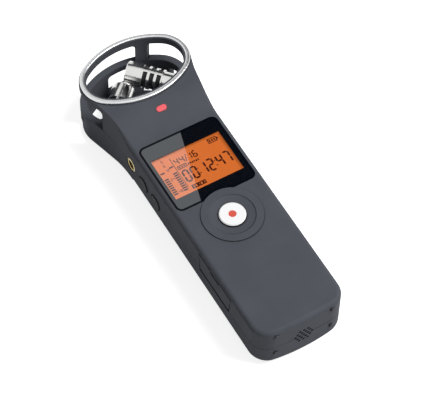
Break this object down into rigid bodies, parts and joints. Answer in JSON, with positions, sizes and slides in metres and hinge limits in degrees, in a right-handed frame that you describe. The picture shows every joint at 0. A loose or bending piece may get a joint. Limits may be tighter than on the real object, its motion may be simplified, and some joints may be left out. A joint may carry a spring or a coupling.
{
  "type": "handheld voice recorder",
  "caption": "Pocket stereo voice recorder with crossed microphones in a ringed cage, backlit display, round record button, side keys, card and battery covers and tripod thread.",
  "frame": {"origin": "middle of the length and width, on the plane the recorder lies on, under the floor of the microphone head", "axes": "+Z out of the face with the display, +Y from the bottom end towards the microphone head, +X to the right when the face is read"},
  "size_m": [0.044, 0.1364, 0.031],
  "materials": {
    "housing": "fine matte moulded plastic, dark blue-grey",
    "rim": "bright satin silver",
    "window": "clear with a black printed border",
    "lcd": "orange backlit liquid crystal",
    "diffuser": "white light guide",
    "red_lens": "translucent red",
    "white_button": "white, smooth",
    "red_mark": "red",
    "button": "dark, matte",
    "circuit_board": "green solder mask",
    "component": "black",
    "gold": "gold plated",
    "steel": "plain, satin",
    "chrome": "bright plated",
    "black_screw": "black zinc",
    "cell": "plain sleeve",
    "card": "black",
    "rubber": "soft black"
  },
  "bodies": {
    "housing": {"front_shell": "housing", "rear_shell": "housing", "front_cage": "housing", "rear_cage": "housing", "rim_ring": "rim", "display_window": "window", "lcd_panel": "lcd", "backlight": "diffuser", "led_lens": "red_lens", "main_board": "circuit_board", "volume_board": "circuit_board", "level_board": "circuit_board", "transport_board": "circuit_board", "push_switches": "component", "phones_jack": "gold", "line_in_jack": "gold", "usb_socket": "steel", "power_switch": "component", "card_socket": "steel", "card_hinge_pin": "steel", "battery_hinge_pin": "steel", "aa_battery": "cell", "battery_spring": "steel", "battery_contact": "steel", "tripod_insert": "steel", "slide_switches": "component", "slide_board": "circuit_board", "speaker_gasket": "rubber", "speaker": "component", "case_screws": "black_screw", "upper_mic_head": "chrome", "upper_mic_grille": "steel", "upper_mic_sleeve": "chrome", "upper_mic_core": "component", "upper_mic_grommet": "rubber", "lower_mic_head": "chrome", "lower_mic_grille": "steel", "lower_mic_sleeve": "chrome", "lower_mic_core": "component", "lower_mic_grommet": "rubber"},
    "record_press_body": {"record_button": "white_button", "record_mark": "red_mark"},
    "volume_up_press_body": {"volume_up_button": "button"},
    "volume_down_press_body": {"volume_down_button": "button"},
    "level_up_press_body": {"level_up_button": "button"},
    "level_down_press_body": {"level_down_button": "button"},
    "rewind_press_body": {"rewind_button": "button"},
    "play_press_body": {"play_button": "button"},
    "forward_press_body": {"forward_button": "button"},
    "delete_press_body": {"delete_button": "button"},
    "power_slide_body": {"power_slider": "button"},
    "low_cut_slide_body": {"low_cut_slider": "button"},
    "auto_level_slide_body": {"auto_level_slider": "button"},
    "format_slide_body": {"format_slider": "button"},
    "card_push_body": {"memory_card": "card"},
    "card_cover_hinge_body": {"card_cover": "housing"},
    "battery_cover_hinge_body": {"battery_cover": "housing"}
  },
  "joints": [
    {"name": "record_press", "type": "slide", "parent": "housing", "child": "record_press_body", "axis": [0, 0, -1], "range_m": [0, 0.0004], "stiffness_N_per_m": 1500, "springref_m": -0.0002},
    {"name": "volume_up_press", "type": "slide", "parent": "housing", "child": "volume_up_press_body", "axis": [1, 0, 0], "range_m": [0, 0.0004], "stiffness_N_per_m": 1500, "springref_m": -0.0002},
    {"name": "volume_down_press", "type": "slide", "parent": "housing", "child": "volume_down_press_body", "axis": [1, 0, 0], "range_m": [0, 0.0004], "stiffness_N_per_m": 1500, "springref_m": -0.0002},
    {"name": "level_up_press", "type": "slide", "parent": "housing", "child": "level_up_press_body", "axis": [-1, 0, 0], "range_m": [0, 0.0004], "stiffness_N_per_m": 1500, "springref_m": -0.0002},
    {"name": "level_down_press", "type": "slide", "parent": "housing", "child": "level_down_press_body", "axis": [-1, 0, 0], "range_m": [0, 0.0004], "stiffness_N_per_m": 1500, "springref_m": -0.0002},
    {"name": "rewind_press", "type": "slide", "parent": "housing", "child": "rewind_press_body", "axis": [-1, 0, 0], "range_m": [0, 0.0004], "stiffness_N_per_m": 1500, "springref_m": -0.0002},
    {"name": "play_press", "type": "slide", "parent": "housing", "child": "play_press_body", "axis": [-1, 0, 0], "range_m": [0, 0.0004], "stiffness_N_per_m": 1500, "springref_m": -0.0002},
    {"name": "forward_press", "type": "slide", "parent": "housing", "child": "forward_press_body", "axis": [-1, 0, 0], "range_m": [0, 0.0004], "stiffness_N_per_m": 1500, "springref_m": -0.0002},
    {"name": "delete_press", "type": "slide", "parent": "housing", "child": "delete_press_body", "axis": [-1, 0, 0], "range_m": [0, 0.0004], "stiffness_N_per_m": 1500, "springref_m": -0.0002},
    {"name": "power_slide", "type": "slide", "parent": "housing", "child": "power_slide_body", "axis": [0, 1, 0], "range_m": [-0.002, 0.002]},
    {"name": "low_cut_slide", "type": "slide", "parent": "housing", "child": "low_cut_slide_body", "axis": [1, 0, 0], "range_m": [0, 0.0018]},
    {"name": "auto_level_slide", "type": "slide", "parent": "housing", "child": "auto_level_slide_body", "axis": [1, 0, 0], "range_m": [0, 0.0018]},
    {"name": "format_slide", "type": "slide", "parent": "housing", "child": "format_slide_body", "axis": [1, 0, 0], "range_m": [0, 0.0018]},
    {"name": "card_push", "type": "slide", "parent": "housing", "child": "card_push_body", "axis": [1, 0, 0], "range_m": [0, 0.0008], "stiffness_N_per_m": 400, "springref_m": -0.0003},
    {"name": "card_cover_hinge", "type": "hinge", "parent": "housing", "child": "card_cover_hinge_body", "pos_m": [-0.01735, -0.03653, 0.0239], "axis": [0, 1, 0], "range_deg": [0, 100]},
    {"name": "battery_cover_hinge", "type": "hinge", "parent": "housing", "child": "battery_cover_hinge_body", "pos_m": [0, -0.00543, 0.00635], "axis": [1, 0, 0], "range_deg": [0, 100]}
  ]
}
